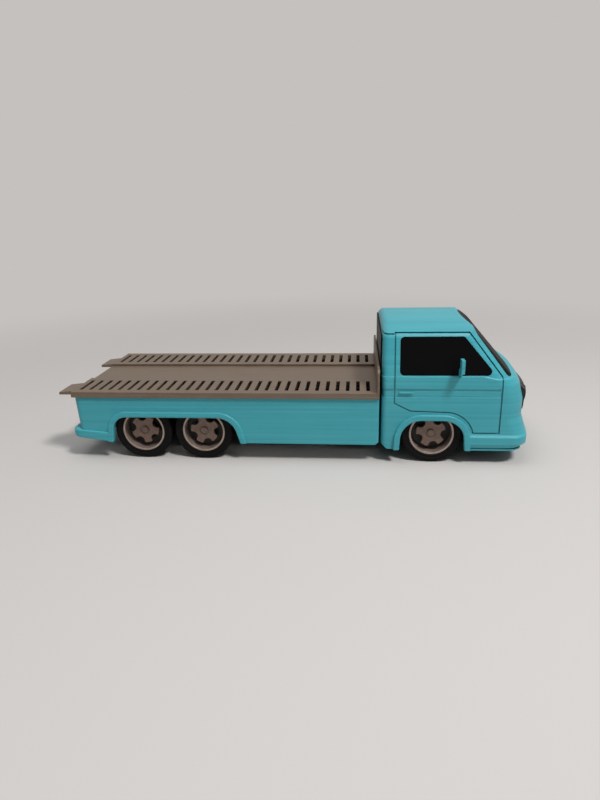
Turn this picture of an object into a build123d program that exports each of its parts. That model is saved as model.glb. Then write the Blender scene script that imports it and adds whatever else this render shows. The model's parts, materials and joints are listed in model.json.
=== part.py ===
from build123d import *
import os

# Toy car transporter: a forward-control cab, a bed under a slotted loading deck, and three
# free-rolling axles. Millimetres. +X is forward, +Y is left and +Z is up. The origin is on the
# ground, under the middle of the model's length, on its centre line.

# ---- Driving dimensions -------------------------------------------------------------------------
# Loading deck
deck_length = 151.8       # rear edge to front edge
floor_thickness = 0.9     # plate under the two tracks
middle_step = 1.1         # top of the tracks down to the floor between them
track_thickness = 1.9     # slotted track plates
track_width = 24.8
track_top = 36.1          # ground to the top of the tracks
deck_overhang = 1.0       # deck beyond each side of the body
tab_reach = 6.9           # loading tab behind each track
tab_width = 13.6
tab_fall = 0.75           # each tab's top falls by this towards its end
right_tab_inset = 2.0     # outer edge of the right track to its tab
left_tab_inset = 0.2      # inner edge of the left track to its tab
slot_count = 30
slot_pitch = 4.938
slot_width = 1.8
slot_length = 16.0
slot_outer_margin = 4.3   # deck edge to the outer end of every slot
last_slot = 5.2           # deck front edge to the middle of the last slot
bulkhead_height = 11.7    # above the tracks
bulkhead_thickness = 1.0
bulkhead_corner = 3.0

# Bed under the deck
body_width = 76.0         # over the plain sides of bed and cab
bed_wall = 1.6
bed_inset = 0.3           # deck rear edge to the top of the rear wall
bed_rear_lean = 1.3       # how far the rear wall leans in towards its foot
bed_bottom = 9.6
bed_rear_corner = 3.0     # upright corners
bed_front_corner = 1.0
bed_front_bevel = 1.2     # along the foot of the front wall
lip_top = 16.4            # rear bumper lip
lip_reach = 4.2           # lip behind the rear wall's foot
lip_length = 20.0
lip_proud = 0.8
lip_corner = 4.5
lip_round = 0.7           # edges of the lip
lip_fall = 1.8            # the lip's top falls by this towards the front
lip_rise = 2.8            # the lip's underside climbs by this towards the rear

# Cab
cab_gap = 1.1             # deck to cab
cab_length = 69.9         # rear wall to the nose, on the centre line
cab_wall = 1.6
cab_bottom = 7.4
cab_heel = 2.8            # bevel at the foot of the rear wall
cab_rear_corner = 2.5     # upright rear corners below the belt
sill_tuck = 0.7           # each side is in by this at the cab's lower edge
nose_foot_back = 1.4      # lower edge behind the nose
nose_ridge = 31.8         # the front is upright up to this height
belt_height = 44.0        # foot of the windows and of the windscreen
belt_step = 0.5           # the sides step in above the belt
roof_height = 67.1
roof_inset = 4.4          # lean of each side from the belt to the roof
roof_camber = 3.0         # centre of the roof above its side edges
roof_side_radius = 4.0
roof_rear_radius = 3.0
cowl_drop = 5.0           # belt down to where the cowl starts to slope back
cowl_foot_back = 1.9
sill_drop = 1.4           # belt down to the sill, where the windscreen starts
sill_back = 4.6           # front edge of the sill behind the nose
belt_back = 12.0          # the lower form's front at the belt, inside the pillars
screen_foot = 6.7         # windscreen foot behind the nose
screen_bow = 3.4          # the windscreen is this much further forward on the centre line
screen_head = 25.8        # windscreen head behind the nose
brow_drop = 2.2           # roof height down to the bend at the windscreen's head
brow_depth = 5.5          # sloping brow from that bend to the roof
nose_bow = 5.2            # the front is this much further forward on the centre line
nose_corner = 10.0
head_bow = 3.0            # the same at its head
head_corner = 6.0

# Bumper round the cab's front
bumper_reach = 3.2
bumper_proud = 0.8        # beyond the plain side
bumper_foot = 8.9         # under it runs a shallow groove, then a thin lip
bumper_full = 10.7        # fullest between these two heights
bumper_ledge = 14.2
bumper_edge = 1.2         # the full part is rounded in by this at its ledge
bumper_tuck = 2.2         # and by this at its foot
bumper_top = 23.8
bumper_lip = 0.7          # height of the lip below the groove
bumper_corner = 8.0

# Wheels and axles
wheel_radius = 14.7
tyre_width = 8.4
rim_radius = 10.7
rim_lip = 0.9
tyre_inset = 2.3          # side of the body to the outer face of a tyre
rim_recess = 0.3
rear_axle_place = 33.9    # deck rear edge to the rearmost axle
axle_spacing = 31.0       # rearmost axle to the middle axle
front_axle_place = 24.2   # cab rear wall to the front axle
axle_diameter = 3.0
running_clearance = 0.05  # round an axle in the chassis
fit_clearance = 0.02      # round an axle in a hub, a hub in its rim, a rim in its tyre
axle_engagement = 0.2     # axle beyond the hub's outer web face, inside the boss
hub_web = 1.6
hub_depth = 6.3           # tyre face to the outer face of the hub's web
hub_boss_radius = 3.4
star_recess = 2.1         # tyre face to the star's face
star_thickness = 1.7
star_radius = 7.3
star_points = 5
star_notch_radius = 2.2
star_notch_place = 7.0    # wheel's centre to the centre of each round notch
star_round = 0.7
cap_radius = 1.65
cap_proud = 0.3
cap_groove_radius = 2.5
cap_groove_depth = 0.3

# Wheel arches
rear_arch_back = 15.2     # rearmost axle to the rear foot of the double arch
rear_arch_front = 18.9    # middle axle to its front foot
rear_arch_top = 22.8
rear_arch_lean = 1.5      # rear side of the double arch, foot to top
rear_arch_slope = 4.0     # front side of the double arch, foot to top
rear_arch_shoulder = 7.0
rear_arch_sweep = 10.0    # radius of the front shoulder
front_arch_half = 15.5    # front axle to either foot
front_arch_top = 22.4
front_arch_lean = 1.0
front_arch_shoulder = 10.0
flare_band = 2.9
flare_proud = 0.9
flare_round = 0.6

# Chassis
chassis_width = 44.0
plate_thickness = 2.5
rail_thickness = 2.5
rail_bottom = 11.2
chassis_nose_gap = 14.0   # nose to the chassis' front end
crossbar_length = 5.0     # along the model
crossbar_height = 3.0
crossbar_gap = 0.5        # arch foot to the crossbar beside it

# Doors, windows and side band
groove_width = 0.6
groove_depth = 0.75
door_rear = 5.6           # these run forward from the cab's rear wall
door_front = 55.5
door_head_front = 39.8
window_rear = 8.2
window_head_front = 37.3
window_foot_front = 52.4
door_foot = 16.0
door_rear_foot = 30.9     # height of the door's lower rear corner
door_over_arch = 26.2
door_arch_rise = 0.7      # the groove over the arch climbs by this towards the rear
door_arch_rear = 10.8     # front axle back to the end of that stretch
door_arch_front = 7.8     # front axle forward to where the groove turns down
door_arch_gap = 3.2       # arch foot to the groove's foot
door_arch_bow = 3.4       # how far the groove's curve passes above and ahead of its chord
door_head_drop = 3.0      # below the roof height
door_nose_drop = 0.3      # door's upper front corner below the belt
gutter_drop = 0.5         # groove from the door to the rear wall, below the door's head
window_sill = 0.4         # above the belt
window_head_drop = 4.9    # below the roof height
window_corner = 2.0
pane_recess = 0.25
pane_thickness = 1.2
pane_clearance = 0.05
band_drop = 6.0           # belt to the top of the shallow band
band_height = 4.0
band_depth = 0.35
handle_place = 8.1        # cab rear wall to the door handle
handle_length = 6.4
handle_height = 0.8
handle_proud = 0.5
handle_drop = 1.3         # top of the band to the top of the handle
handle_root = 0.4         # handle's root inside the wall
screen_sill = 0.5         # sill to the lower edge of the windscreen
screen_pillar = 3.0       # body side to the windscreen's lower corner
screen_head_pillar = 3.3  # body side to its upper corner
screen_head_gap = 0.6     # roof to the windscreen's upper edge, on the centre line
screen_arch = 3.0         # the windscreen's upper edge rises by this to its middle
screen_foot_corner = 1.2
screen_head_corner = 3.5
rear_window_margin = 6.0  # side of the body to the rear window
rear_window_foot = 39.2
rear_window_head_drop = 4.9
rear_window_proud = 0.7

# Mirrors
mirror_place = 35.0       # cab rear wall to the mirror's rear face
mirror_stand = 2.0        # side of the cab to the mirror's head
mirror_width = 4.4
mirror_thickness = 1.5
mirror_stem = 3.4         # height of the stem at the cab
mirror_stem_rise = 1.6    # the head's foot above the belt
mirror_foot_slope = 1.5
mirror_head_rise = 9.4    # the head's top above the belt
mirror_seat = 0.3         # the stem's root inside the cab's side, cut to its shape

# Front panel, grille and lamps
panel_gap = 1.6           # bumper top to the panel's foot
panel_head_drop = 3.4     # sill down to the panel's head
panel_ridge_drop = 3.8    # panel's head down to its ridge
panel_foot_proud = 0.4
panel_proud = 1.1
panel_head_back = 3.2     # head of the panel behind the nose
panel_margin = 8.0        # side of the body to the panel
panel_corner = 2.5
lamp_inset = 16.0         # side of the body to the middle of a lamp
lamp_radius = 4.4
lamp_seat = 8.0           # lamp's root behind the nose
lamp_back = 0.8           # lamp's face behind the nose
grille_pitch = 2.2
grille_gap = 1.2
grille_slots = 3
grille_width = 28.0
grille_depth = 0.7

# ---- Places worked out from the driving dimensions ----------------------------------------------
overall_length = tab_reach + deck_length + cab_gap + cab_length + bumper_reach
tab_end = -overall_length / 2
deck_rear = tab_end + tab_reach
deck_front = deck_rear + deck_length
cab_rear = deck_front + cab_gap
nose = cab_rear + cab_length
axle_places = {
    "rear": deck_rear + rear_axle_place,
    "middle": deck_rear + rear_axle_place + axle_spacing,
    "front": cab_rear + front_axle_place,
}
front_axle = axle_places["front"]
half_body = body_width / 2
tyre_face = half_body - tyre_inset
half_deck = half_body + deck_overhang
track_floor = track_top - track_thickness
track_inner = half_deck - track_width
bed_top = track_floor - floor_thickness
bed_rear = deck_rear + bed_inset
bed_rear_foot = bed_rear + bed_rear_lean
waist = half_body - belt_step
cowl_foot = belt_height - cowl_drop
sill_height = belt_height - sill_drop
roof_cap = roof_height + cab_wall    # the roof's loft ends above its crown
side_lean = roof_inset / (roof_height - belt_height)
brow_height = roof_height - brow_drop
door_head = roof_height - door_head_drop
window_foot = belt_height + window_sill
window_head = roof_height - window_head_drop
band_top = belt_height - band_drop
rear_window_head = roof_height - rear_window_head_drop
rear_window_half = half_body - rear_window_margin
panel_foot = bumper_top + panel_gap
panel_head = sill_height - panel_head_drop
panel_ridge = panel_head - panel_ridge_drop
panel_half = half_body - panel_margin
lamp_side = half_body - lamp_inset
lamp_height = (panel_foot + panel_head) / 2
axle_radius = axle_diameter / 2
beyond = 10.0             # cutting prisms run past the body by this
side_reach = half_body + beyond

os.makedirs("parts", exist_ok=True)


def write(name, block):
    """Label one finished piece and write it."""
    block.part.label = name
    export_step(block.part, f"parts/{name}.step")


# ---- Wheel arches -------------------------------------------------------------------------------
def arch_outline(feet, foot_level, top, leans, shoulders, spread):
    """Opening over a wheel in the XZ plane, grown all round by spread.

    feet, leans and shoulders each hold a value for the rear side and one for the front side.
    """
    rear, front = feet[0] - spread, feet[1] + spread
    with BuildSketch(Plane.XZ) as outline:
        with BuildLine():
            Polyline(
                (rear, -beyond),
                (rear, foot_level),
                (rear + leans[0], top + spread),
                (front - leans[1], top + spread),
                (front, foot_level),
                (front, -beyond),
                close=True,
            )
        make_face()
        crest = outline.vertices().group_by(Axis.Y)[-1].sort_by(Axis.X)
        fillet(crest[0], shoulders[0] + spread)
        crest = outline.vertices().group_by(Axis.Y)[-1].sort_by(Axis.X)
        fillet(crest[-1], shoulders[1] + spread)
    return outline.sketch_local


rear_feet = (axle_places["rear"] - rear_arch_back, axle_places["middle"] + rear_arch_front)
front_feet = (front_axle - front_arch_half, front_axle + front_arch_half)
rear_arch, rear_flare = [
    arch_outline(rear_feet, bed_bottom, rear_arch_top, (rear_arch_lean, rear_arch_slope),
                 (rear_arch_shoulder, rear_arch_sweep), spread)
    for spread in (0, flare_band)
]
front_arch, front_flare = [
    arch_outline(front_feet, cab_bottom, front_arch_top, (front_arch_lean, front_arch_lean),
                 (front_arch_shoulder, front_arch_shoulder), spread)
    for spread in (0, flare_band)
]


def flare_pair(outer, inner, foot_level):
    """Round-edged bands round an arch, one on each side of the body, with level feet."""
    with BuildPart() as flares:
        for side in (-1, 1):
            with BuildSketch(Plane.XZ.offset(side * (half_body + flare_proud))):
                add(outer)
                add(inner, mode=Mode.SUBTRACT)
            extrude(amount=-side * (flare_proud + bed_wall / 2))
        for face_edges in (flares.edges().group_by(Axis.Y)[0], flares.edges().group_by(Axis.Y)[-1]):
            fillet(face_edges, flare_round)
        with Locations((0, 0, foot_level - beyond)):
            Box(2 * overall_length, 2 * body_width, 2 * beyond, mode=Mode.SUBTRACT)
    return flares.part


def side_prism(outline, near, far):
    """Prism of an XZ outline between two distances left of the centre line."""
    with BuildPart() as prism:
        with BuildSketch(Plane.XZ.offset(-near)):
            add(outline)
        extrude(amount=near - far)
    return prism.part


def lengthways_prism(outline, rear, front):
    """Prism of a YZ outline between two places along the model."""
    with BuildPart() as prism:
        with BuildSketch(Plane.YZ.offset(rear)):
            add(outline)
        extrude(amount=front - rear)
    return prism.part


# ---- Cab volume ---------------------------------------------------------------------------------
def cab_plan(level, rear, front, half_width, bow, corner, rear_corner=0):
    """Plan section of the cab at one level: a flat rear, a bowed front and round corners."""
    with BuildSketch(Plane.XY.offset(level)) as plan:
        with BuildLine():
            Polyline((front - bow, half_width), (rear, half_width),
                     (rear, -half_width), (front - bow, -half_width))
            ThreePointArc((front - bow, -half_width), (front, 0), (front - bow, half_width))
        make_face()
        fillet(plan.vertices().group_by(Axis.X)[-1], corner)
        if rear_corner > 0:
            fillet(plan.vertices().group_by(Axis.X)[0], rear_corner)
    return plan.sketch


def side_half(level):
    """Half width of the leaning sides at one level."""
    return waist - side_lean * (level - belt_height)


def cab_volume(inset):
    """Everything inside the cab's outer skin, or inside a skin that lies deeper by inset."""
    lower = (     # level, distance behind the nose, half width
        (cab_bottom, nose_foot_back, half_body - sill_tuck),
        (bumper_top, 0, half_body),
        (nose_ridge, 0, half_body),
        (cowl_foot, cowl_foot_back, half_body),
        (sill_height, sill_back, half_body),
        (belt_height, belt_back, half_body),
    )
    rear = cab_rear + inset
    brow_slope = brow_depth / brow_drop
    cap_back = screen_head + brow_slope * (roof_cap - brow_height)
    upper = (     # level, distance behind the nose, bow, corner
        (sill_height, screen_foot, screen_bow, nose_corner),
        (brow_height, screen_head, head_bow, head_corner),
        (roof_cap, cap_back, head_bow, head_corner),
    )
    with BuildPart() as greenhouse:
        for level, back, bow, corner in upper:
            half = side_half(level)
            add(cab_plan(level, rear, nose - back - inset, half - inset, bow, corner - inset))
        loft(ruled=True)
        with BuildSketch(Plane.YZ.offset(rear)) as crown:      # roof and sides, seen end on
            top = roof_height - inset
            edge = top - roof_camber
            foot_half = side_half(sill_height) - inset
            edge_half = side_half(edge) - inset
            with BuildLine():
                ThreePointArc((edge_half, edge), (0, top), (-edge_half, edge))
                Polyline((-edge_half, edge), (-foot_half, sill_height),
                         (foot_half, sill_height), (edge_half, edge))
            make_face()
            fillet(crown.vertices().group_by(Axis.Y)[-1], roof_side_radius - inset)
        extrude(amount=cab_length, mode=Mode.INTERSECT)
        rear_edges = greenhouse.edges().group_by(Axis.X)[0]
        fillet(rear_edges.sort_by(Axis.Z)[-1], max(roof_rear_radius - inset, inset))
    with BuildPart() as volume:
        for level, back, half in lower:
            add(cab_plan(level, rear, nose - back - inset, half - inset, nose_bow, nose_corner - inset,
                         cab_rear_corner - inset))
        loft(ruled=True)
        add(greenhouse.part)
    return volume.part


# Nested volumes that the walls, grooves and panes are cut from
cab_outer = cab_volume(0)
cab_inner = cab_volume(cab_wall)
groove_floor = cab_volume(groove_depth)
band_floor = cab_volume(band_depth)
pane_face = cab_volume(pane_recess)
pane_back = cab_volume(pane_recess + pane_thickness)

# ---- Outlines on the cab's sides, in the XZ plane -----------------------------------------------
with BuildSketch(Plane.XZ) as side_window:
    with BuildLine():
        Polyline(
            (cab_rear + window_rear, window_foot),
            (cab_rear + window_rear, window_head),
            (cab_rear + window_head_front, window_head),
            (cab_rear + window_foot_front, window_foot),
            close=True,
        )
    make_face()
    fillet(side_window.vertices(), window_corner)
with BuildSketch(Plane.XZ) as side_pane:
    offset(side_window.sketch_local, amount=-pane_clearance)

arch_end = (front_axle + door_arch_front, door_over_arch)
arch_foot = (front_axle + front_arch_half + door_arch_gap, door_foot)
arch_bend = tuple((end + foot + door_arch_bow) / 2 for end, foot in zip(arch_end, arch_foot))
with BuildSketch(Plane.XZ) as door:
    with BuildLine():
        Polyline(
            arch_end,
            (front_axle - door_arch_rear, door_over_arch + door_arch_rise),
            (cab_rear + door_rear, door_rear_foot),
            (cab_rear + door_rear, door_head),
            (cab_rear + door_head_front, door_head),
            (cab_rear + door_front, belt_height - door_nose_drop),
            (cab_rear + door_front, door_foot),
            arch_foot,
        )
        ThreePointArc(arch_foot, arch_bend, arch_end)
    make_face()
with BuildSketch(Plane.XZ) as grooves:
    add(door.sketch_local)
    offset(door.sketch_local, amount=-groove_width, kind=Kind.INTERSECTION, mode=Mode.SUBTRACT)
    with Locations((cab_rear + door_rear / 2, door_head - gutter_drop - groove_width / 2)):
        Rectangle(door_rear + 2 * groove_width, groove_width)
with BuildSketch(Plane.XZ) as side_band:
    with Locations((cab_rear + door_front / 2, band_top - band_height / 2)):
        Rectangle(door_front, band_height)

# ---- Outlines on the cab's front and rear, in the YZ plane --------------------------------------
screen_foot_half = waist - screen_pillar
screen_top = roof_height - screen_head_gap
screen_head_half = side_half(brow_height) - screen_head_pillar
screen_shoulder = screen_top - screen_arch
screen_foot_level = sill_height + screen_sill
with BuildSketch(Plane.YZ) as screen:
    with BuildLine():
        Polyline(
            (-screen_head_half, screen_shoulder),
            (-screen_foot_half, screen_foot_level),
            (screen_foot_half, screen_foot_level),
            (screen_head_half, screen_shoulder),
        )
        ThreePointArc((screen_head_half, screen_shoulder), (0, screen_top),
                      (-screen_head_half, screen_shoulder))
    make_face()
    fillet(screen.vertices().group_by(Axis.Y)[0], screen_foot_corner)
    fillet(screen.vertices().group_by(Axis.Y)[-1], screen_head_corner)
with BuildSketch(Plane.YZ) as screen_pane:
    offset(screen.sketch_local, amount=-pane_clearance)
with BuildSketch(Plane.YZ) as rear_opening:
    with Locations((0, (rear_window_foot + rear_window_head) / 2)):
        RectangleRounded(2 * rear_window_half, rear_window_head - rear_window_foot, window_corner)
with BuildSketch(Plane.YZ) as rear_pane:
    offset(rear_opening.sketch_local, amount=-pane_clearance)
with BuildSketch(Plane.YZ) as chassis_seat:
    with Locations((0, (rail_bottom + bed_top) / 2)):
        Rectangle(chassis_width, bed_top - rail_bottom)

screen_rear = nose - screen_head - head_bow - cab_wall


# ---- Cab shell ----------------------------------------------------------------------------------
def wrapped_ring(sections):
    """Band round the cab's front: level, reach beyond the nose and the side, and corner radius."""
    with BuildPart() as ring:
        for level, reach, proud, corner in sections:
            add(cab_plan(level, cab_rear, nose + reach, half_body + proud, nose_bow, corner))
        loft(ruled=True)
        split(bisect_by=Plane.YZ.offset(front_feet[1] - front_arch_lean), keep=Keep.TOP)
    return ring.part


bumper = wrapped_ring((
    (bumper_foot, bumper_reach - bumper_tuck, bumper_proud - bumper_edge / 2, bumper_corner),
    (bumper_full, bumper_reach, bumper_proud, bumper_corner),
    (bumper_ledge, bumper_reach, bumper_proud, bumper_corner),
    (bumper_ledge + bumper_edge, bumper_reach - bumper_edge / 2, 0, bumper_corner),
    (bumper_top, 0, 0, nose_corner),
))
lower_lip = wrapped_ring((
    (cab_bottom, bumper_reach - bumper_tuck, 0, bumper_corner),
    (cab_bottom + bumper_lip, bumper_reach - bumper_tuck, 0, bumper_corner),
))
with BuildPart() as engraving:
    add(side_prism(grooves.sketch_local, -side_reach, side_reach))
    add(groove_floor, mode=Mode.SUBTRACT)
with BuildPart() as band:
    add(side_prism(side_band.sketch_local, -side_reach, side_reach))
    add(band_floor, mode=Mode.SUBTRACT)
with BuildSketch(Plane.XZ) as heel:
    with BuildLine():
        Polyline((cab_rear, cab_bottom), (cab_rear + cab_heel, cab_bottom),
                 (cab_rear, cab_bottom + cab_heel), close=True)
    make_face()

handle_level = band_top - handle_drop - handle_height / 2
handle_depth = handle_proud + band_depth + handle_root
with BuildPart() as cab_shell:
    add(cab_outer)
    add(bumper)
    add(lower_lip)
    add(flare_pair(front_flare, front_arch, cab_bottom))
    add(cab_inner, mode=Mode.SUBTRACT)
    add(side_prism(front_arch, -side_reach, side_reach), mode=Mode.SUBTRACT)
    add(side_prism(side_window.sketch_local, -side_reach, side_reach), mode=Mode.SUBTRACT)
    add(side_prism(heel.sketch_local, -side_reach, side_reach), mode=Mode.SUBTRACT)
    add(engraving.part, mode=Mode.SUBTRACT)
    add(band.part, mode=Mode.SUBTRACT)
    for side in (-1, 1):      # door handles, rooted in the wall
        with Locations((cab_rear + handle_place + handle_length / 2,
                        side * (half_body + handle_proud - handle_depth / 2), handle_level)):
            Box(handle_length, handle_depth, handle_height)
    add(lengthways_prism(screen.sketch_local, screen_rear, nose + beyond), mode=Mode.SUBTRACT)
    for opening in (rear_opening, chassis_seat):
        cut = lengthways_prism(opening.sketch_local, cab_rear - beyond, cab_rear + beyond)
        add(cut, mode=Mode.SUBTRACT)
write("cab_shell", cab_shell)

# ---- Panes --------------------------------------------------------------------------------------
for name, near, far in (("side_window_right", -side_reach, 0), ("side_window_left", 0, side_reach)):
    with BuildPart() as pane:
        add(side_prism(side_pane.sketch_local, near, far))
        add(pane_face, mode=Mode.INTERSECT)
        add(pane_back, mode=Mode.SUBTRACT)
    write(name, pane)

with BuildPart() as windscreen:
    add(lengthways_prism(screen_pane.sketch_local, screen_rear, nose + beyond))
    add(cab_outer, mode=Mode.INTERSECT)
    add(pane_back, mode=Mode.SUBTRACT)
write("windscreen", windscreen)

with BuildPart() as rear_window:
    add(lengthways_prism(rear_pane.sketch_local, cab_rear - rear_window_proud, cab_rear + pane_thickness))
write("rear_window", rear_window)

# ---- Mirrors ------------------------------------------------------------------------------------
for name, side in (("mirror_right", -1), ("mirror_left", 1)):
    root = side * (waist - mirror_seat)
    head_near = side * (half_body + mirror_stand)
    head_far = side * (half_body + mirror_stand + mirror_width)
    with BuildPart() as mirror:
        with BuildSketch(Plane.YZ.offset(cab_rear + mirror_place)) as head:
            with BuildLine():
                Polyline(
                    (root, belt_height + mirror_seat),
                    (head_near, belt_height + mirror_stem_rise),
                    (head_far, belt_height + mirror_stem_rise + mirror_foot_slope),
                    (head_far, belt_height + mirror_head_rise),
                    (head_near, belt_height + mirror_head_rise),
                    (head_near, belt_height + mirror_stem_rise + mirror_stem),
                    (root, belt_height + mirror_stem),
                    close=True,
                )
            make_face()
        extrude(amount=mirror_thickness)
        add(cab_outer, mode=Mode.SUBTRACT)
    write(name, mirror)


# ---- Front panel with the grille and lamps ------------------------------------------------------
def panel_slab(sections):
    """Slab across the nose, from rows of level and reach beyond the nose."""
    with BuildPart() as slab:
        for level, reach in sections:
            add(cab_plan(level, cab_rear, nose + reach, half_body, nose_bow, nose_corner))
        loft(ruled=True)
    return slab.part


lamp_places = [(-lamp_side, lamp_height), (lamp_side, lamp_height)]
with BuildSketch(Plane.YZ) as panel_outline:
    with Locations((0, (panel_foot + panel_head) / 2)):
        RectangleRounded(2 * panel_half, panel_head - panel_foot, panel_corner)
    with Locations(*lamp_places):
        Circle(lamp_radius, mode=Mode.SUBTRACT)
with BuildSketch(Plane.YZ) as grille:
    with Locations((0, lamp_height)):
        with GridLocations(0, grille_pitch, 1, grille_slots):
            SlotOverall(grille_width, grille_gap)

grille_floor = nose + panel_proud - grille_depth
with BuildPart() as front_panel:
    add(panel_slab((
        (panel_foot, panel_foot_proud),
        (panel_ridge, panel_proud),
        (panel_head, -panel_head_back),
    )))
    add(lengthways_prism(panel_outline.sketch_local, cab_rear, nose + beyond), mode=Mode.INTERSECT)
    add(cab_outer, mode=Mode.SUBTRACT)
    add(lengthways_prism(grille.sketch_local, grille_floor, nose + beyond), mode=Mode.SUBTRACT)
write("front_panel", front_panel)

for name, place in zip(("headlamp_right", "headlamp_left"), lamp_places):
    with BuildPart() as headlamp:
        with BuildSketch(Plane.YZ.offset(nose - lamp_seat)):
            with Locations(place):
                Circle(lamp_radius - pane_clearance)
        extrude(amount=lamp_seat - lamp_back)
        add(cab_outer, mode=Mode.SUBTRACT)
    write(name, headlamp)


# ---- Bed ----------------------------------------------------------------------------------------
def bed_volume(inset):
    """The bed's outer form, or the space inside its walls, with the rear wall leaning in."""
    rows = (      # level, set-back of the front wall
        (bed_bottom, bed_front_bevel),
        (bed_bottom + bed_front_bevel, 0),
        (bed_top, 0),
    )
    with BuildPart() as volume:
        for level, set_back in rows:
            share = (bed_top - level) / (bed_top - bed_bottom)
            rear = bed_rear + share * bed_rear_lean + inset
            front = deck_front - set_back - inset
            with BuildSketch(Plane.XY.offset(level)) as plan:
                with Locations(((rear + front) / 2, 0)):
                    Rectangle(front - rear, body_width - 2 * inset)
                for corners, radius in ((0, bed_rear_corner), (-1, bed_front_corner)):
                    if radius > inset:
                        fillet(plan.vertices().group_by(Axis.X)[corners], radius - inset)
        loft(ruled=True)
    return volume.part


lip_end = bed_rear_foot - lip_reach
lip_front = lip_end + lip_length
with BuildPart() as rear_lip:
    with BuildSketch(Plane.XY.offset(bed_bottom)) as lip_plan:
        with Locations((lip_end + lip_length / 2, 0)):
            Rectangle(lip_length, body_width + 2 * lip_proud)
        fillet(lip_plan.vertices().group_by(Axis.X)[0], lip_corner)
    extrude(amount=lip_top - bed_bottom)
    with BuildSketch(Plane.XZ) as lip_side:
        with BuildLine():
            Polyline((lip_end, bed_bottom + lip_rise), (lip_end, lip_top),
                     (lip_front, lip_top - lip_fall), (lip_front, bed_bottom), close=True)
        make_face()
    extrude(amount=side_reach, both=True, mode=Mode.INTERSECT)
    lip_top_face, lip_foot_face = rear_lip.faces().sort_by(Axis.Z)[-1], rear_lip.faces().sort_by(Axis.Z)[0]
    fillet(lip_top_face.edges() + lip_foot_face.edges(), lip_round)
with BuildSketch(Plane.XZ) as lip_slope:
    with BuildLine():
        Polyline((lip_end, bed_bottom + lip_rise), (lip_front, bed_bottom),
                 (lip_end, bed_bottom), close=True)
    make_face()

with BuildPart() as bed_body:
    add(bed_volume(0))
    add(rear_lip.part)
    add(flare_pair(rear_flare, rear_arch, bed_bottom))
    add(bed_volume(bed_wall), mode=Mode.SUBTRACT)
    add(side_prism(rear_arch, -side_reach, side_reach), mode=Mode.SUBTRACT)
    add(side_prism(lip_slope.sketch_local, -side_reach, side_reach), mode=Mode.SUBTRACT)
    add(lengthways_prism(chassis_seat.sketch_local, deck_front - beyond, cab_rear), mode=Mode.SUBTRACT)
write("bed_body", bed_body)

# ---- Chassis ------------------------------------------------------------------------------------
chassis_rear = bed_rear_foot + bed_wall
chassis_front = nose - chassis_nose_gap
chassis_middle = (chassis_rear + chassis_front) / 2
chassis_length = chassis_front - chassis_rear
plate_bottom = bed_top - plate_thickness
rail_middle = (chassis_width - rail_thickness) / 2
with BuildPart() as chassis_plate:
    with Locations((chassis_middle, 0, bed_top - plate_thickness / 2)):
        Box(chassis_length, chassis_width, plate_thickness)
write("chassis_plate", chassis_plate)

with BuildPart() as chassis_rails:
    for side in (-1, 1):
        with Locations((chassis_middle, side * rail_middle, (rail_bottom + plate_bottom) / 2)):
            Box(chassis_length, rail_thickness, plate_bottom - rail_bottom)
    with BuildSketch(Plane.XZ.offset(chassis_width)):
        with Locations(*[(place, wheel_radius) for place in axle_places.values()]):
            Circle(axle_radius + running_clearance)
    extrude(amount=-2 * chassis_width, mode=Mode.SUBTRACT)
write("chassis_rails", chassis_rails)

crossbar_reach = half_body - sill_tuck - cab_wall
crossbar_step = front_arch_half + crossbar_gap + crossbar_length / 2
with BuildPart() as chassis_crossbars:
    with Locations((front_axle - crossbar_step, 0, rail_bottom - crossbar_height / 2),
                   (front_axle + crossbar_step, 0, rail_bottom - crossbar_height / 2)):
        Box(crossbar_length, 2 * crossbar_reach, crossbar_height)
write("chassis_crossbars", chassis_crossbars)

# ---- Deck ---------------------------------------------------------------------------------------
track_front = deck_front - bulkhead_thickness
track_length = track_front - deck_rear
track_centre = (deck_rear + track_front) / 2
slot_middle = half_deck - slot_outer_margin - slot_length / 2
slot_run = (slot_count - 1) * slot_pitch
slot_centre = deck_front - last_slot - slot_run / 2
with BuildPart() as deck_floor:
    with Locations((track_centre, 0, bed_top + floor_thickness / 2)):
        Box(track_length, 2 * half_deck, floor_thickness)
    with Locations((track_centre, 0, (bed_top + track_top - middle_step) / 2)):
        Box(track_length, 2 * track_inner, track_top - middle_step - bed_top)
    for side in (-1, 1):      # clear under the slots
        with Locations((slot_centre, side * slot_middle, bed_top + floor_thickness / 2)):
            Box(slot_run + slot_width, slot_length, floor_thickness, mode=Mode.SUBTRACT)
write("deck_floor", deck_floor)

with BuildSketch(Plane.XZ) as tab_slope:
    with BuildLine():
        Polyline((tab_end, track_top - tab_fall), (deck_rear, track_top), (tab_end, track_top), close=True)
    make_face()
for name, side, tab_middle in (
    ("track_right", -1, -(half_deck - right_tab_inset - tab_width / 2)),
    ("track_left", 1, track_inner + left_tab_inset + tab_width / 2),
):
    with BuildPart() as track:
        with BuildSketch(Plane.XY.offset(track_floor)):
            with Locations((track_centre, side * (half_deck - track_width / 2))):
                Rectangle(track_length, track_width)
            with Locations((deck_rear - tab_reach / 2, tab_middle)):
                Rectangle(tab_reach, tab_width)
            with Locations((slot_centre, side * slot_middle)):
                with GridLocations(slot_pitch, 0, slot_count, 1):
                    Rectangle(slot_width, slot_length, mode=Mode.SUBTRACT)
        extrude(amount=track_thickness)
        add(side_prism(tab_slope.sketch_local, -half_deck, half_deck), mode=Mode.SUBTRACT)
    write(name, track)

with BuildPart() as bulkhead:
    with BuildSketch(Plane.YZ.offset(track_front)) as board:
        with Locations((0, (bed_top + track_top + bulkhead_height) / 2)):
            Rectangle(2 * half_deck, track_top + bulkhead_height - bed_top)
        fillet(board.vertices().group_by(Axis.Y)[-1], bulkhead_corner)
    extrude(amount=bulkhead_thickness)
write("bulkhead", bulkhead)

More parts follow.
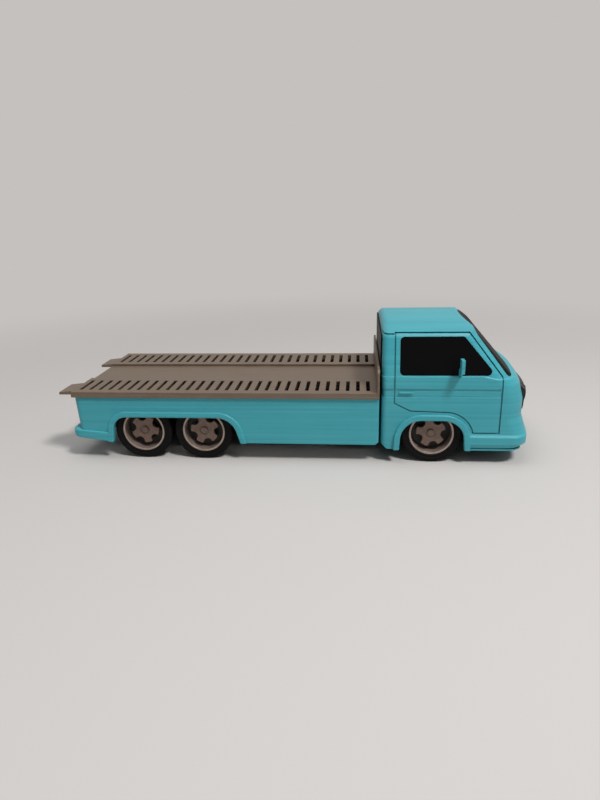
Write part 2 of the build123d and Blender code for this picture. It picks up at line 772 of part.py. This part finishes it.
# ---- Wheels -------------------------------------------------------------------------------------
bead_radius = rim_radius + fit_clearance
well_radius = rim_radius - rim_lip
web_radius = well_radius - fit_clearance
bore_radius = axle_radius + fit_clearance
web_back = -hub_depth - hub_web
bore_end = -hub_depth + axle_engagement + fit_clearance
star_seat = star_recess + star_thickness
profiles = {      # corners as (radius, distance out from the tyre's face)
    "tyre": ((bead_radius, 0), (wheel_radius, 0), (wheel_radius, -tyre_width), (bead_radius, -tyre_width)),
    "rim": ((well_radius, -rim_recess), (rim_radius, -rim_recess),
            (rim_radius, rim_recess - tyre_width), (well_radius, rim_recess - tyre_width)),
    "hub": ((0, -star_seat), (hub_boss_radius, -star_seat), (hub_boss_radius, -hub_depth),
            (web_radius, -hub_depth), (web_radius, web_back), (bore_radius, web_back),
            (bore_radius, bore_end), (0, bore_end)),
}
notch_angles = {"rear": -45, "middle": -80, "front": -80}      # how each pair of wheels stands at rest
half_axle = tyre_face - hub_depth + axle_engagement

for axle_name, place in axle_places.items():
    with BuildPart() as axle:
        with BuildSketch(Plane.XZ.offset(-half_axle)):
            with Locations((place, wheel_radius)):
                Circle(axle_radius)
        extrude(amount=2 * half_axle)
    write(f"axle_{axle_name}", axle)

    for side_name, side in (("right", -1), ("left", 1)):
        # the wheel's outer face, looking away from the centre line
        face = Plane(origin=(place, side * tyre_face, wheel_radius), x_dir=(1, 0, 0), z_dir=(0, side, 0))
        section = Plane(origin=face.origin, x_dir=face.x_dir, z_dir=face.x_dir.cross(face.z_dir))
        for piece_name, corners in profiles.items():
            with BuildPart() as piece:
                with BuildSketch(section):
                    with BuildLine():
                        Polyline(*corners, close=True)
                    make_face()
                revolve(axis=Axis(face.origin, face.z_dir))
            write(f"{piece_name}_{axle_name}_{side_name}", piece)

        star_face = face.offset(-star_recess)
        with BuildPart() as star:
            with BuildSketch(star_face) as outline:
                with Locations(Location((0, 0, 0), (0, 0, notch_angles[axle_name]))):
                    Circle(star_radius)
                    with PolarLocations(star_notch_place, star_points):
                        Circle(star_notch_radius, mode=Mode.SUBTRACT)
                fillet(outline.vertices(), star_round)
            extrude(amount=-star_thickness)
            with BuildSketch(star_face):
                Circle(cap_groove_radius)
                Circle(cap_radius, mode=Mode.SUBTRACT)
            extrude(amount=-cap_groove_depth, mode=Mode.SUBTRACT)
            with BuildSketch(star_face):
                Circle(cap_radius)
            extrude(amount=cap_proud)
        write(f"star_{axle_name}_{side_name}", star)
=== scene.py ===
import json
import math

import bmesh
import bpy
from mathutils import Matrix, Vector


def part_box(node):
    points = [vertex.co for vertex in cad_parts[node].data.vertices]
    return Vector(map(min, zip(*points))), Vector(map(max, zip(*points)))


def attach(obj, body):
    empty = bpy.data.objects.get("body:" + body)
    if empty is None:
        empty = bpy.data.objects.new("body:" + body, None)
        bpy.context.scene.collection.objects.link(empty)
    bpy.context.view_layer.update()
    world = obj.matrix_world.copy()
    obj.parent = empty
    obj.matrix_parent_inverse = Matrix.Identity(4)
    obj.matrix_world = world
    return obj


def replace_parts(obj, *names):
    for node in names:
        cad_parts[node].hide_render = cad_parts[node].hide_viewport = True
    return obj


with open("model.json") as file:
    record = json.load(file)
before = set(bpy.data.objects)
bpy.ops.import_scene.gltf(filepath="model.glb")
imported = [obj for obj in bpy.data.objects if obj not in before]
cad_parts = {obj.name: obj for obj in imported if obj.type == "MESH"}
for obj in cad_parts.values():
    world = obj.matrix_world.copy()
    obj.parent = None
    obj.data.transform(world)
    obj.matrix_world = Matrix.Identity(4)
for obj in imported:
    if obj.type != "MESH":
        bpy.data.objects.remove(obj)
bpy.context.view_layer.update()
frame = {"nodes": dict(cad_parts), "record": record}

record = frame["record"]
slotOf = {part["node"]: part["material_slot"] for part in record["subparts"]}
bodyOf = {node: body for body, members in record["behaviour"]["bodies"].items() for node in members}
wheelNames = [f"{axle}_{side}" for axle in ("rear", "middle", "front") for side in ("right", "left")]
mm = 0.001
print("frame loaded:", len(slotOf), "nodes")

# Shared by the finishes. An edge is fully marked where its rounded normal has turned to edgeFull, and the
# mark lays a painted highlight there. A recess goes from unmarked to fully marked as the open share around
# it falls from openFrom to openTo, and the mark lays painted shade there.
masks = {"edgeSamples": 6, "edgeFull": 0.75, "openSamples": 8, "openFrom": 0.6, "openTo": 0.3}
strong = (-0.4, 1.4)  # a range that brings a soft pattern out to both of its colours
oneBand = 2 * math.pi / 20  # the scale at which a wave texture draws one band per metre


def fromHex(text):  # sRGB hex to the linear values that the shaders take
    values = [int(text[i:i + 2], 16) / 255 for i in (0, 2, 4)]
    return [v / 12.92 if v <= 0.04045 else ((v + 0.055) / 1.055) ** 2.4 for v in values] + [1.0]


def addNode(tree, kind, settings, inputs, output=0):  # makes one node, feeds it and returns one output
    node = tree.nodes.new(kind)
    for name, value in settings.items():
        setattr(node, name, value)
    for name, value in inputs.items():
        if isinstance(value, bpy.types.NodeSocket):
            tree.links.new(value, node.inputs[name])
        else:
            node.inputs[name].default_value = value
    return node.outputs[output] if node.outputs else node


def startMaterial(name):
    material = bpy.data.materials.new(name)
    material.use_nodes = True
    tree = material.node_tree
    tree.nodes.clear()
    place = addNode(tree, "ShaderNodeTexCoord", {}, {}, "Object")  # metres, in the model's own frame
    return material, tree, place


def clouds(tree, place, size, detail=2.0):  # soft patches whose size along X, Y and Z is given in mm
    scale = tuple(1 / (side * mm) for side in size)
    scaled = addNode(tree, "ShaderNodeMapping", {}, {"Vector": place, "Scale": scale})
    return addNode(tree, "ShaderNodeTexNoise", {}, {"Vector": scaled, "Scale": 1.0, "Detail": detail})


def softEdgesAndHighlightMask(tree, radius):  # a normal that rounds sharp edges, and a mask that is 1 along them, where a painted highlight is laid
    rounded = addNode(tree, "ShaderNodeBevel", {"samples": masks["edgeSamples"]}, {"Radius": radius * mm})
    flat = addNode(tree, "ShaderNodeNewGeometry", {}, {}, "Normal")
    alike = addNode(tree, "ShaderNodeVectorMath", {"operation": "DOT_PRODUCT"}, {
        0: rounded, 1: flat}, "Value")
    mask = addNode(tree, "ShaderNodeMapRange", {}, {
        "Value": alike, "From Min": 1.0, "From Max": masks["edgeFull"], "To Min": 0.0, "To Max": 1.0})
    return rounded, mask


def paintedRecessShade(tree, reach):  # 1 deep in slots and corners, where little light comes: the mask that lays painted shade there
    clear = addNode(tree, "ShaderNodeAmbientOcclusion", {"samples": masks["openSamples"]}, {
        "Distance": reach * mm}, "AO")
    return addNode(tree, "ShaderNodeMapRange", {}, {
        "Value": clear, "From Min": masks["openFrom"], "From Max": masks["openTo"]})


# Lays a colour over another by a mask from low to high. The Mix node has its colour sockets at 6, 7 and 2.
def tinted(tree, base, colour, mask, low, high):
    share = addNode(tree, "ShaderNodeMapRange", {}, {"Value": mask, "To Min": low, "To Max": high})
    return addNode(tree, "ShaderNodeMix", {"data_type": "RGBA"}, {0: share, 6: base, 7: colour}, 2)


def relief(tree, normal, patterns):  # lays patterns on a surface in turn, each with its depth in mm
    for height, depth in patterns:
        normal = addNode(tree, "ShaderNodeBump", {}, {
            "Height": height, "Distance": depth * mm, "Normal": normal})
    return normal


def finishMaterial(material, tree, look, body, normal, mask):  # the shader, clear to dull by a mask
    clear, dull = look["roughness"]
    gloss = addNode(tree, "ShaderNodeMapRange", {}, {"Value": mask, "To Min": clear, "To Max": dull})
    shader = addNode(tree, "ShaderNodeBsdfPrincipled", {}, {
        "Base Color": body, "Normal": normal, "Roughness": gloss, **look["shine"]})
    addNode(tree, "ShaderNodeOutputMaterial", {}, {"Surface": shader})
    return material


# In each look below are colours, pattern sizes and depths in mm, shares from 0 to 1, roughness from the
# clearest to the dullest place, and the shader values that are the same all over.


# Extruded filament, laid down in level layers: walls show level lines and long streaks where the
# thread was a little thicker or glossier, edges are soft and carry a painted highlight, slots and corners
# carry painted shade, and the sheen is satin.
# Real layers are 0.2 mm high. They are drawn at three times that, so that they show, and the grain is
# coarser than real too.
def filamentPrint(name, look):
    material, tree, place = startMaterial(name)
    streaks = clouds(tree, place, look["streaks"])
    patches = clouds(tree, place, (look["patches"],) * 3)
    grain = clouds(tree, place, look["grain"], detail=3.0)
    layers = addNode(tree, "ShaderNodeTexWave", {"bands_direction": "Z"}, {
        "Vector": place, "Scale": oneBand / (look["layerHeight"] * mm), "Distortion": look["layerWobble"]}, 1)
    rounded, edges = softEdgesAndHighlightMask(tree, look["edgeRadius"])
    recessShade = paintedRecessShade(tree, look["recessShadeReach"])
    body = tinted(tree, fromHex(look["shade"]), fromHex(look["colour"]), streaks, *strong)
    body = tinted(tree, body, fromHex(look["light"]), patches, 0.0, look["patchShare"])
    # painted highlight: paler along the edges, where they catch the light
    body = tinted(tree, body, fromHex(look["light"]), edges, 0.0, look["edgeHighlightShare"])
    # painted shade: darker in slots, gaps and corners, where little light reaches
    body = tinted(tree, body, fromHex(look["recessShade"]), recessShade, 0.0, look["recessShadeShare"])
    surface = relief(tree, rounded, [
        (layers, look["layerDepth"]), (streaks, look["streakDepth"]), (grain, look["grainDepth"])])
    return finishMaterial(material, tree, look, body, surface, patches)


layered = {"layerHeight": 0.6, "layerWobble": 0.4, "layerDepth": 0.008}
# Turquoise body: satin, its walls streaked level
turquoiseLook = {
    **layered, "colour": "3EA7B4", "shade": "2C93A1", "light": "66BAC0", "recessShade": "0F5F6C",
    "streaks": (70, 70, 0.9), "streakDepth": 0.016, "patches": 16, "patchShare": 0.22,
    "grain": (0.5, 0.5, 0.3), "grainDepth": 0.008, "edgeRadius": 0.3, "edgeHighlightShare": 0.35,
    "recessShadeReach": 0.8, "recessShadeShare": 0.5, "roughness": (0.36, 0.50), "shine": {"IOR": 1.46}}
# Silver-grey deck: printed flat, so its top shows the lengthwise passes of the nozzle, with mica in it;
# its slots are made near black with painted shade
deckLook = {
    **layered, "colour": "72604F", "shade": "625142", "light": "96877A", "recessShade": "0C0806",
    "streaks": (40, 0.9, 1.2), "streakDepth": 0.03, "patches": 9, "patchShare": 0.3,
    "grain": (0.7, 0.5, 0.4), "grainDepth": 0.02, "edgeRadius": 0.22, "edgeHighlightShare": 0.45,
    "recessShadeReach": 4.0, "recessShadeShare": 1.0, "roughness": (0.38, 0.52), "shine": {"IOR": 1.46, "Metallic": 0.25}}
# Satin black frame, hubs and grille panel: the same print with little sheen
frameLook = {
    **layered, "colour": "0E0E0F", "shade": "090909", "light": "242426", "recessShade": "040404",
    "streaks": (50, 50, 1.2), "streakDepth": 0.02, "patches": 12, "patchShare": 0.3,
    "grain": (0.6, 0.6, 0.4), "grainDepth": 0.012, "edgeRadius": 0.22, "edgeHighlightShare": 0.3,
    "recessShadeReach": 1.0, "recessShadeShare": 0.8, "roughness": (0.40, 0.54), "shine": {"IOR": 1.46}}


# Gloss black sheet: smooth, with a slow ripple. On the panes it has gone dull with fine dust and finger
# marks, so that lamps show in it only as a wide soft sheen.
def glossSheet(name, look):
    material, tree, place = startMaterial(name)
    marks = clouds(tree, place, (look["marks"],) * 3, detail=4.0)
    ripple = clouds(tree, place, (look["ripple"],) * 3)
    rounded = addNode(tree, "ShaderNodeBevel", {"samples": masks["edgeSamples"]}, {
        "Radius": look["edgeRadius"] * mm})
    body = tinted(tree, fromHex(look["colour"]), fromHex(look["dust"]), marks, 0.0, look["dustShare"])
    surface = relief(tree, rounded, [(ripple, look["rippleDepth"])])
    return finishMaterial(material, tree, look, body, surface, marks)


paneLook = {
    "colour": "070708", "dust": "0F0F10", "dustShare": 0.5, "marks": 9, "ripple": 25, "rippleDepth": 0.03,
    "edgeRadius": 0.2, "roughness": (0.38, 0.52), "shine": {"IOR": 1.45, "Specular IOR Level": 0.06}}
# Smoked lamps: the same sheet, polished clear and a little paler
lampLook = {
    "colour": "121316", "dust": "1C1D20", "dustShare": 0.5, "marks": 4, "ripple": 6, "rippleDepth": 0.02,
    "edgeRadius": 0.15, "roughness": (0.06, 0.20), "shine": {"IOR": 1.45, "Specular IOR Level": 0.6}}


# Silver paint over printed plastic: fine metal flake, rubbed dull in patches, with painted shade that makes
# the low places dark brown and a painted highlight along the edges. The real flake is finer than a render
# shows, so it is coarser here.
def rubbedSilver(name, look):
    material, tree, place = startMaterial(name)
    wear = clouds(tree, place, (look["wear"],) * 3, detail=4.0)
    flake = addNode(tree, "ShaderNodeTexVoronoi", {}, {
        "Vector": place, "Scale": 1 / (look["flake"] * mm)}, "Distance")
    rounded, edges = softEdgesAndHighlightMask(tree, look["edgeRadius"])
    recessShade = paintedRecessShade(tree, look["recessShadeReach"])
    body = tinted(tree, fromHex(look["shade"]), fromHex(look["colour"]), wear, *strong)
    body = tinted(tree, body, fromHex(look["light"]), flake, 0.0, look["flakeShare"])
    # painted highlight: paler along the edges, where they catch the light
    body = tinted(tree, body, fromHex(look["light"]), edges, 0.0, look["edgeHighlightShare"])
    # painted shade: darker in the dish and other low places, where little light reaches
    body = tinted(tree, body, fromHex(look["recessShade"]), recessShade, 0.0, look["recessShadeShare"])
    surface = relief(tree, rounded, [(wear, look["wearDepth"])])
    return finishMaterial(material, tree, look, body, surface, wear)


starLook = {
    "colour": "765E52", "shade": "57443B", "light": "BFAFA2", "recessShade": "120D0A", "wear": 1.6,
    "wearDepth": 0.015, "flake": 0.3, "flakeShare": 0.2, "edgeRadius": 0.25, "edgeHighlightShare": 0.6,
    "recessShadeReach": 1.0, "recessShadeShare": 0.9, "roughness": (0.25, 0.45), "shine": {"Metallic": 0.5}}
# Rims: the same paint, turned in smoother, so lamps draw arcs in the dish, and made brighter than
# the stars as a painted highlight
litRimLook = {
    "colour": "B49E91", "shade": "8C786C", "light": "E2D6CC", "recessShade": "2A211B", "wear": 2.5,
    "wearDepth": 0.008, "flake": 0.3, "flakeShare": 0.2, "edgeRadius": 0.2, "edgeHighlightShare": 0.5,
    "recessShadeReach": 3.0, "recessShadeShare": 0.7, "roughness": (0.24, 0.44), "shine": {"Metallic": 0.5}}


# Moulded black rubber: matt, faintly brown where dust has settled, with a fine moulding grain
def tyreRubber(name, look):
    material, tree, place = startMaterial(name)
    dust = clouds(tree, place, (look["dust"],) * 3, detail=4.0)
    grain = clouds(tree, place, (look["grain"],) * 3)
    flat = addNode(tree, "ShaderNodeNewGeometry", {}, {}, "Normal")
    body = tinted(tree, fromHex(look["colour"]), fromHex(look["dusty"]), dust, 0.0, look["dustShare"])
    surface = relief(tree, flat, [(grain, look["grainDepth"])])
    return finishMaterial(material, tree, look, body, surface, dust)


rubberLook = {
    "colour": "060606", "dusty": "121010", "dustShare": 0.7, "dust": 3, "grain": 0.4, "grainDepth": 0.02,
    "roughness": (0.54, 0.72), "shine": {"IOR": 1.52, "Specular IOR Level": 0.12}}


# Drawn steel rod: bright, with fine lines along its length. The lines are drawn coarser than real.
def drawnSteel(name, look):
    material, tree, place = startMaterial(name)
    lines = clouds(tree, place, look["lines"], detail=3.0)
    flat = addNode(tree, "ShaderNodeNewGeometry", {}, {}, "Normal")
    body = tinted(tree, fromHex(look["shade"]), fromHex(look["colour"]), lines, 0.0, 1.0)
    surface = relief(tree, flat, [(lines, look["lineDepth"])])
    return finishMaterial(material, tree, look, body, surface, lines)


steelLook = {
    "colour": "B9BABC", "shade": "8D8E91", "lines": (0.15, 12, 0.15), "lineDepth": 0.01,
    "roughness": (0.25, 0.40), "shine": {"Metallic": 1.0}}

finishes = {
    "turquoise_print": filamentPrint("turquoiseFilamentPrint", turquoiseLook),
    "silver_print": filamentPrint("silverFilamentPrint", deckLook),
    "black_satin_print": filamentPrint("blackFilamentPrint", frameLook),
    "black_gloss_print": glossSheet("glossBlackSheet", paneLook),
    "wheel_silver": rubbedSilver("rubbedSilverPaint", starLook),
    "lamp_smoked": glossSheet("smokedLampPlastic", lampLook),
    "tyre_black": tyreRubber("mouldedTyreRubber", rubberLook),
    "steel_rod": drawnSteel("drawnSteelRod", steelLook),
}
# the rims get a brighter copy of the wheel paint: a painted highlight
litRimPaint = rubbedSilver("litRimSilverPaint", litRimLook)
for node, piece in frame["nodes"].items():
    piece.data.materials.clear()
    piece.data.materials.append(litRimPaint if node.startswith("rim_") else finishes[slotOf[node]])
print("finishes made:", len(finishes) + 1)


def addPiece(name, shape, node):  # a finished mesh with the finish and the motion of one CAD node
    mesh = bpy.data.meshes.new(name)
    shape.to_mesh(mesh)
    shape.free()
    mesh.materials.append(finishes[slotOf[node]])
    piece = bpy.data.objects.new(name, mesh)
    bpy.context.scene.collection.objects.link(piece)
    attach(piece, bodyOf[node])
    return piece


turning = {"steps": 96, "weld": 1e-7}  # weld in metres


def turned(profile, centre, outward):  # spins a closed profile of (radius, outward) points
    shape = bmesh.new()
    ring = [shape.verts.new(centre + outward * out + Vector((0, 0, radius))) for radius, out in profile]
    edges = [shape.edges.new(pair) for pair in zip(ring, ring[1:] + ring[:1])]
    bmesh.ops.spin(shape, geom=ring + edges, cent=centre, axis=outward, angle=2 * math.pi,
                   steps=turning["steps"], use_merge=True)
    bmesh.ops.remove_doubles(shape, verts=shape.verts, dist=turning["weld"])
    bmesh.ops.recalc_face_normals(shape, faces=shape.faces)
    for face in shape.faces:
        face.smooth = True
    return shape


def wheelAxis(node):  # the point where a wheel's axle meets the centre line, and the way out from there
    low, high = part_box(node)
    middle = (low + high) / 2
    return Vector((middle.x, 0, middle.z)), Vector((0, 1 if low.y > 0 else -1, 0))


def quarterArc(centreRadius, centreOut, radius, steps):  # from the outward side round to the rim side
    turns = [step / steps * math.pi / 2 for step in range(steps + 1)]
    return [(centreRadius + radius * math.sin(turn), centreOut + radius * math.cos(turn)) for turn in turns]


# Tyres, in mm: rings with rounded shoulders, a side wall that bulges a little and a moulded bead line
tyre = {"shoulder": 1.1, "bulge": 0.12, "beadLine": 1.3, "beadDepth": 0.14, "arcSteps": 5}


def makeTyre(wheel):
    node = "tyre_" + wheel
    low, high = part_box(node)
    rimLow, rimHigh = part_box("rim_" + wheel)
    centre = abs(low.y + high.y) / 2
    half = (high.y - low.y) / 2
    outer = (high.z - low.z) / 2
    inner = (rimHigh.z - rimLow.z) / 2
    shoulder = tyre["shoulder"] * mm
    flank = half - tyre["bulge"] * mm
    line = inner + tyre["beadLine"] * mm
    depth = tyre["beadDepth"] * mm
    sideWall = [(inner, flank), (line - depth, flank), (line, flank - depth),
                (line + depth, flank + depth / 2)]
    sideWall += quarterArc(outer - shoulder, half - shoulder, shoulder, tyre["arcSteps"])
    profile = [(radius, centre + out) for radius, out in sideWall]
    profile += [(radius, centre - out) for radius, out in reversed(sideWall)]
    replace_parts(addPiece("tyreRing_" + wheel, turned(profile, *wheelAxis(node)), node), node)


# Hub caps, in mm: a low dome with a rolled edge, and a dimple in its middle
hubCap = {"radius": 1.62, "edge": 0.3, "crown": 0.14, "dimple": 0.5, "dimpleDepth": 0.12, "sunk": 0.1,
          "arcSteps": 4}


def makeHubCap(wheel):
    node = "star_" + wheel
    low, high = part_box(node)
    seat = max(abs(low.y), abs(high.y)) - hubCap["sunk"] * mm
    edge = hubCap["edge"] * mm
    radius = hubCap["radius"] * mm
    top = seat + hubCap["sunk"] * mm + edge
    dimple = hubCap["dimple"] * mm
    profile = [(0, top + (hubCap["crown"] - hubCap["dimpleDepth"]) * mm),
               (dimple, top + hubCap["crown"] * mm)]
    profile += quarterArc(radius - edge, top - edge, edge, hubCap["arcSteps"])
    profile += [(radius, seat), (0, seat)]
    addPiece("hubCap_" + wheel, turned(profile, *wheelAxis(node)), node)


# Wheel stars, in mm: the outer edges of the face are rounded over, so that they catch the light. The boss
# in the middle, inside insideRadius, keeps its own edge. The flat angle is in radians.
star = {"edge": 0.4, "segments": 3, "insideRadius": 3.0, "near": 0.01, "flatAngle": 0.02}


def makeStar(wheel):
    node = "star_" + wheel
    middle, outward = wheelAxis(node)
    shape = bmesh.new()
    shape.from_mesh(frame["nodes"][node].data)
    bmesh.ops.remove_doubles(shape, verts=shape.verts, dist=turning["weld"])
    bmesh.ops.dissolve_limit(shape, angle_limit=star["flatAngle"], verts=shape.verts, edges=shape.edges)

    def radius(vert):
        return math.hypot(vert.co.x - middle.x, vert.co.z - middle.z)

    outside = [vert for vert in shape.verts if radius(vert) > star["insideRadius"] * mm]
    faceLevel = max(vert.co.dot(outward) for vert in outside)
    rim = {vert for vert in outside if faceLevel - vert.co.dot(outward) < star["near"] * mm}
    edges = [edge for edge in shape.edges if set(edge.verts) <= rim]
    made = bmesh.ops.bevel(shape, geom=edges, offset=star["edge"] * mm, offset_type="OFFSET", affect="EDGES",
                           segments=star["segments"], profile=0.5, material=-1, clamp_overlap=True)
    for face in made["faces"]:
        face.smooth = True
    bmesh.ops.triangulate(shape, faces=[face for face in shape.faces if len(face.verts) > 4])
    bmesh.ops.recalc_face_normals(shape, faces=shape.faces)
    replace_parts(addPiece("wheelStar_" + wheel, shape, node), node)


for wheel in wheelNames:
    makeTyre(wheel)
    makeStar(wheel)
    makeHubCap(wheel)
print("tyres, stars and hub caps made")

# Headlamps, in mm: a crowned lens with a rolled edge and one pressed ring, standing in a collar. The lamp
# is cut back level with the front panel's slanted head, which leans slantBack over a rise of slantUp.
lens = {"crown": 0.3, "edge": 0.35, "ringRadius": 3.2, "ringWidth": 0.3, "ringDepth": 0.15, "collar": 0.35,
        "collarBack": 0.85, "slantUp": 3.8, "slantBack": 4.3, "proud": 0.1, "arcSteps": 4}


def lensProfile(radius, back, front):
    edge = lens["edge"] * mm
    ring = lens["ringRadius"] * mm
    width = lens["ringWidth"] * mm
    shoulder = front + lens["crown"] * mm / 2  # where the pressed ring meets the crown
    collar = front - lens["collarBack"] * mm
    collarRadius = radius + lens["collar"] * mm
    profile = [(0, front + lens["crown"] * mm), (ring - width, shoulder),
               (ring, shoulder - lens["ringDepth"] * mm), (ring + width, shoulder)]
    profile += quarterArc(radius - edge, front - edge, edge, lens["arcSteps"])
    return profile + [(radius, collar), (collarRadius, collar), (collarRadius, back), (0, back)]


def cutToSlant(shape):  # takes off what stands proud of the front panel's head and closes the cut
    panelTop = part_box("front_panel")[1]
    slant = Vector((lens["slantUp"], 0, lens["slantBack"])).normalized()
    onSlant = Vector((panelTop.x - lens["slantBack"] * mm, 0, panelTop.z)) + slant * lens["proud"] * mm
    cut = bmesh.ops.bisect_plane(shape, geom=shape.verts[:] + shape.edges[:] + shape.faces[:],
                                 dist=turning["weld"], plane_co=onSlant, plane_no=slant, clear_outer=True)
    rim = [part for part in cut["geom_cut"] if isinstance(part, bmesh.types.BMEdge)]
    bmesh.ops.holes_fill(shape, edges=rim, sides=0)
    bmesh.ops.triangulate(shape, faces=shape.faces)
    bmesh.ops.recalc_face_normals(shape, faces=shape.faces)
    for edge in rim:
        edge.smooth = False


def makeHeadlamp(side):
    node = "headlamp_" + side
    low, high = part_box(node)
    middle = (low + high) / 2
    profile = lensProfile((high.y - low.y) / 2, low.x, high.x)
    shape = turned(profile, Vector((0, middle.y, middle.z)), Vector((1, 0, 0)))
    cutToSlant(shape)
    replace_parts(addPiece("headlampLens_" + side, shape, node), node)


for side in ("left", "right"):
    makeHeadlamp(side)
print("headlamps made")

# Camera: its place in mm and its turns in degrees. Its focal length is in pixels of the render.
camera = {"behindDeckFront": 10.45, "aside": 303.5, "height": 122.2, "pitch": 18.59, "roll": -1.51,
          "yaw": 5.87, "focalPixels": 587.2, "imageHeight": 800, "sensor": 36.0, "clipStart": 10}


def makeCamera():
    data = bpy.data.cameras.new("studioCamera")
    data.sensor_fit = "VERTICAL"
    data.sensor_height = camera["sensor"]
    data.lens = camera["focalPixels"] * camera["sensor"] / camera["imageHeight"]
    data.clip_start = camera["clipStart"] * mm
    pitch, roll, yaw = (math.radians(camera[turn]) for turn in ("pitch", "roll", "yaw"))
    right = Vector((math.cos(yaw), math.sin(yaw), 0))
    level = Vector((-math.sin(yaw), math.cos(yaw), 0))
    ahead = level * math.cos(pitch) - Vector((0, 0, math.sin(pitch)))
    above = level * math.sin(pitch) + Vector((0, 0, math.cos(pitch)))
    side = right * math.cos(roll) + above * math.sin(roll)
    top = above * math.cos(roll) - right * math.sin(roll)
    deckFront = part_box("bulkhead")[1].x
    place = Vector((deckFront - camera["behindDeckFront"] * mm, -camera["aside"] * mm, camera["height"] * mm))
    eye = bpy.data.objects.new("studioCamera", data)
    eye.matrix_world = Matrix.Translation(place) @ Matrix((side, top, -ahead)).transposed().to_4x4()
    bpy.context.scene.collection.objects.link(eye)
    bpy.context.scene.camera = eye


makeCamera()

# Studio, in metres: a pale floor that fades into a pale background, and a soft surround that brightens
# from surroundFrom, just below level, up to straight overhead
studio = {"floor": "C9C5C2", "floorRoughness": 0.9, "floorSpecular": 0.1, "floorSize": 12.0,
          "background": "C5C1BE", "fadeFrom": 0.16, "fadeTo": 0.55,
          "surroundFrom": -0.1, "surroundLow": 0.04, "surroundHigh": 0.42}
# Soft lamps: place and size in metres, power in watts
lamps = {
    "keyLamp": ((0.42, -0.44, 0.85), 0.18, 7.2),
    "topLamp": ((-0.20, -0.10, 1.10), 0.60, 3.0),
}


def backgroundRays(tree):  # 1 for rays from the eye, in a mirror or through something clear
    rays = tree.nodes.new("ShaderNodeLightPath").outputs
    seen = addNode(tree, "ShaderNodeMath", {"operation": "ADD"}, {
        0: rays["Is Camera Ray"], 1: rays["Is Glossy Ray"]})
    return addNode(tree, "ShaderNodeMath", {"operation": "ADD", "use_clamp": True}, {
        0: seen, 1: rays["Is Transmission Ray"]})


def makeFloor():
    grid = bmesh.new()
    bmesh.ops.create_grid(grid, x_segments=1, y_segments=1, size=studio["floorSize"] / 2)
    mesh = bpy.data.meshes.new("studioFloor")
    grid.to_mesh(mesh)
    grid.free()
    material, tree, place = startMaterial("mattPaperFloor")
    away = addNode(tree, "ShaderNodeVectorMath", {"operation": "LENGTH"}, {0: place}, "Value")
    fade = addNode(tree, "ShaderNodeMapRange", {"interpolation_type": "SMOOTHSTEP"}, {
        "Value": away, "From Min": studio["fadeFrom"], "From Max": studio["fadeTo"]})
    share = addNode(tree, "ShaderNodeMath", {"operation": "MULTIPLY"}, {0: fade, 1: backgroundRays(tree)})
    paper = addNode(tree, "ShaderNodeBsdfPrincipled", {}, {
        "Base Color": fromHex(studio["floor"]), "Roughness": studio["floorRoughness"],
        "Specular IOR Level": studio["floorSpecular"]})
    glow = addNode(tree, "ShaderNodeEmission", {}, {"Color": fromHex(studio["background"])})
    mixed = addNode(tree, "ShaderNodeMixShader", {}, {0: share, 1: paper, 2: glow})
    addNode(tree, "ShaderNodeOutputMaterial", {}, {"Surface": mixed})
    mesh.materials.append(material)
    floor = bpy.data.objects.new("studioFloor", mesh)
    bpy.context.scene.collection.objects.link(floor)


def makeSurround():
    world = bpy.data.worlds.new("studioSurround")
    world.use_nodes = True
    tree = world.node_tree
    tree.nodes.clear()
    direction = addNode(tree, "ShaderNodeTexCoord", {}, {}, "Generated")
    height = addNode(tree, "ShaderNodeSeparateXYZ", {}, {"Vector": direction}, "Z")
    strength = addNode(tree, "ShaderNodeMapRange", {}, {
        "Value": height, "From Min": studio["surroundFrom"], "From Max": 1.0,
        "To Min": studio["surroundLow"], "To Max": studio["surroundHigh"]})
    light = addNode(tree, "ShaderNodeBackground", {}, {"Color": (1, 1, 1, 1), "Strength": strength})
    seen = addNode(tree, "ShaderNodeBackground", {}, {"Color": fromHex(studio["background"])})
    mixed = addNode(tree, "ShaderNodeMixShader", {}, {0: backgroundRays(tree), 1: light, 2: seen})
    addNode(tree, "ShaderNodeOutputWorld", {}, {"Surface": mixed})
    bpy.context.scene.world = world


def makeLamps():
    for name, (place, size, power) in lamps.items():
        data = bpy.data.lights.new(name, "AREA")
        data.size = size
        data.energy = power
        lamp = bpy.data.objects.new(name, data)
        lamp.location = place
        lamp.rotation_euler = (-Vector(place)).to_track_quat("-Z", "Y").to_euler()
        bpy.context.scene.collection.objects.link(lamp)


makeFloor()
makeSurround()
makeLamps()
bpy.context.scene.view_settings.view_transform = "Standard"
print("camera and studio set")
